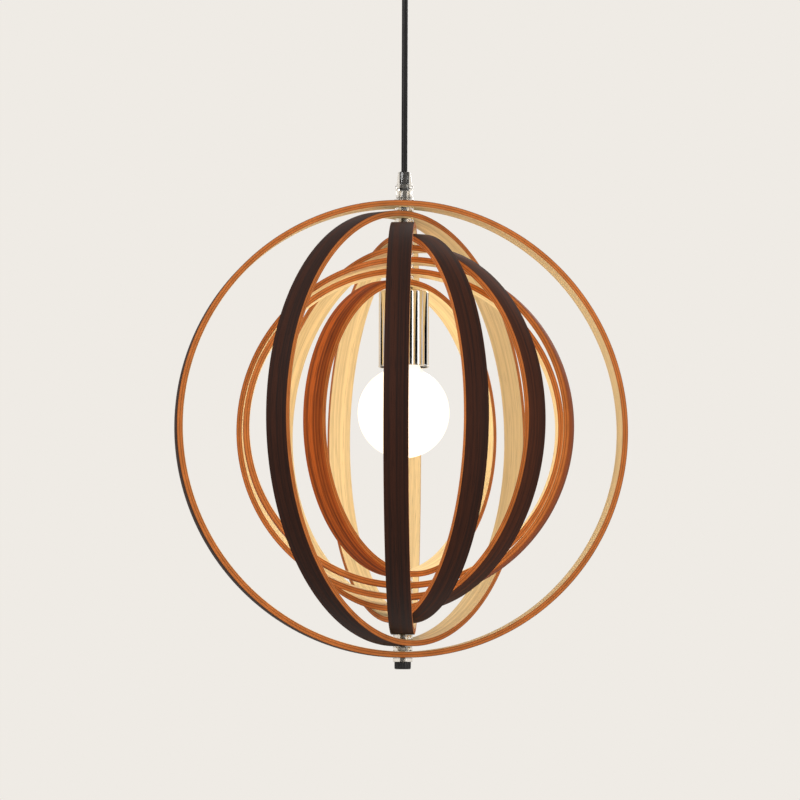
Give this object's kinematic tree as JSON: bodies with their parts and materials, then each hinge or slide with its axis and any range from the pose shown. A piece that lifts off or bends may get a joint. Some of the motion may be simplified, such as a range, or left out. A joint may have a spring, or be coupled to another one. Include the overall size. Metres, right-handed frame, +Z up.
{
  "type": "orb pendant lamp",
  "caption": "Orb pendant lamp: nested bentwood hoops that turn about one upright axis round a globe bulb in a metal cup, hung by a cord from a ceiling canopy.",
  "frame": {"origin": "middle of the ceiling bracket's two screw slots, in the plane of the ceiling", "axes": "+Z up, along the cord and the hoops' axis; +X to the right and +Y away from the camera in the reference view, along the bracket and across it"},
  "size_m": [0.3968, 0.3604, 0.6488],
  "materials": {
    "bentwood": "satin clear lacquer on laminated ash veneer",
    "clear_plastic": "clear polycarbonate",
    "cord_black": "glossy black PVC",
    "plated_steel": "zinc-plated steel",
    "chromed_cup": "polished chrome plate",
    "black_metal": "satin black enamel",
    "opal_glass": "opal glass",
    "clear_glass": "clear glass",
    "black_phenolic": "moulded black phenolic",
    "porcelain": "glazed porcelain",
    "brass": "plain brass",
    "nickel_plate": "nickel-plated brass",
    "white_nylon": "moulded white nylon",
    "core_insulation": "brown core insulation",
    "tungsten": "drawn tungsten wire"
  },
  "bodies": {
    "suspension": {"ceiling_bracket": "plated_steel", "canopy": "black_metal", "canopy_side_screws": "black_metal", "terminal_block": "white_nylon", "terminal_screws": "brass", "canopy_leads": "core_insulation", "canopy_nipple": "plated_steel", "canopy_nut": "plated_steel", "canopy_grip_body": "clear_plastic", "canopy_grip_cap": "clear_plastic", "power_cord": "cord_black", "lamp_grip_body": "clear_plastic", "lamp_grip_cap": "clear_plastic", "stem_tube": "clear_plastic", "stem_washer": "plated_steel", "stem_nut": "plated_steel", "top_spacers": "clear_plastic", "holder_cup": "chromed_cup", "holder_nut": "plated_steel", "holder_cap": "black_phenolic", "holder_skirt": "black_phenolic", "holder_insert": "porcelain", "holder_screws": "brass", "holder_screw_shell": "brass", "holder_contact": "brass", "holder_leads": "core_insulation", "bulb_globe": "opal_glass", "bulb_cap": "nickel_plate", "bulb_cap_insulator": "black_phenolic", "bulb_contact": "brass", "bulb_mount": "clear_glass", "bulb_filament": "tungsten"},
    "outer_hoop": {"hoop_1": "bentwood", "bottom_stud": "plated_steel", "bottom_nut": "plated_steel", "bottom_spacers": "clear_plastic", "bottom_washer": "clear_plastic", "bottom_finial": "black_metal", "stud_cap_nut": "plated_steel"},
    "inner_hoop_2": {"hoop_2": "bentwood"},
    "inner_hoop_3": {"hoop_3": "bentwood"},
    "inner_hoop_4": {"hoop_4": "bentwood"},
    "inner_hoop_5": {"hoop_5": "bentwood"},
    "inner_hoop_6": {"hoop_6": "bentwood"},
    "inner_hoop_7": {"hoop_7": "bentwood"},
    "inner_hoop_8": {"hoop_8": "bentwood"}
  },
  "joints": [
    {"name": "hoop_1_turn", "type": "hinge", "parent": "suspension", "child": "outer_hoop", "pos_m": [0, 0, -0.4388], "axis": [0, 0, 1], "continuous": true},
    {"name": "hoop_2_turn", "type": "hinge", "parent": "suspension", "child": "inner_hoop_2", "pos_m": [0, 0, -0.4388], "axis": [0, 0, 1], "continuous": true},
    {"name": "hoop_3_turn", "type": "hinge", "parent": "suspension", "child": "inner_hoop_3", "pos_m": [0, 0, -0.4388], "axis": [0, 0, 1], "continuous": true},
    {"name": "hoop_4_turn", "type": "hinge", "parent": "suspension", "child": "inner_hoop_4", "pos_m": [0, 0, -0.4388], "axis": [0, 0, 1], "continuous": true},
    {"name": "hoop_5_turn", "type": "hinge", "parent": "suspension", "child": "inner_hoop_5", "pos_m": [0, 0, -0.4388], "axis": [0, 0, 1], "continuous": true},
    {"name": "hoop_6_turn", "type": "hinge", "parent": "suspension", "child": "inner_hoop_6", "pos_m": [0, 0, -0.4388], "axis": [0, 0, 1], "continuous": true},
    {"name": "hoop_7_turn", "type": "hinge", "parent": "suspension", "child": "inner_hoop_7", "pos_m": [0, 0, -0.4388], "axis": [0, 0, 1], "continuous": true},
    {"name": "hoop_8_turn", "type": "hinge", "parent": "suspension", "child": "inner_hoop_8", "pos_m": [0, 0, -0.4388], "axis": [0, 0, 1], "continuous": true}
  ]
}
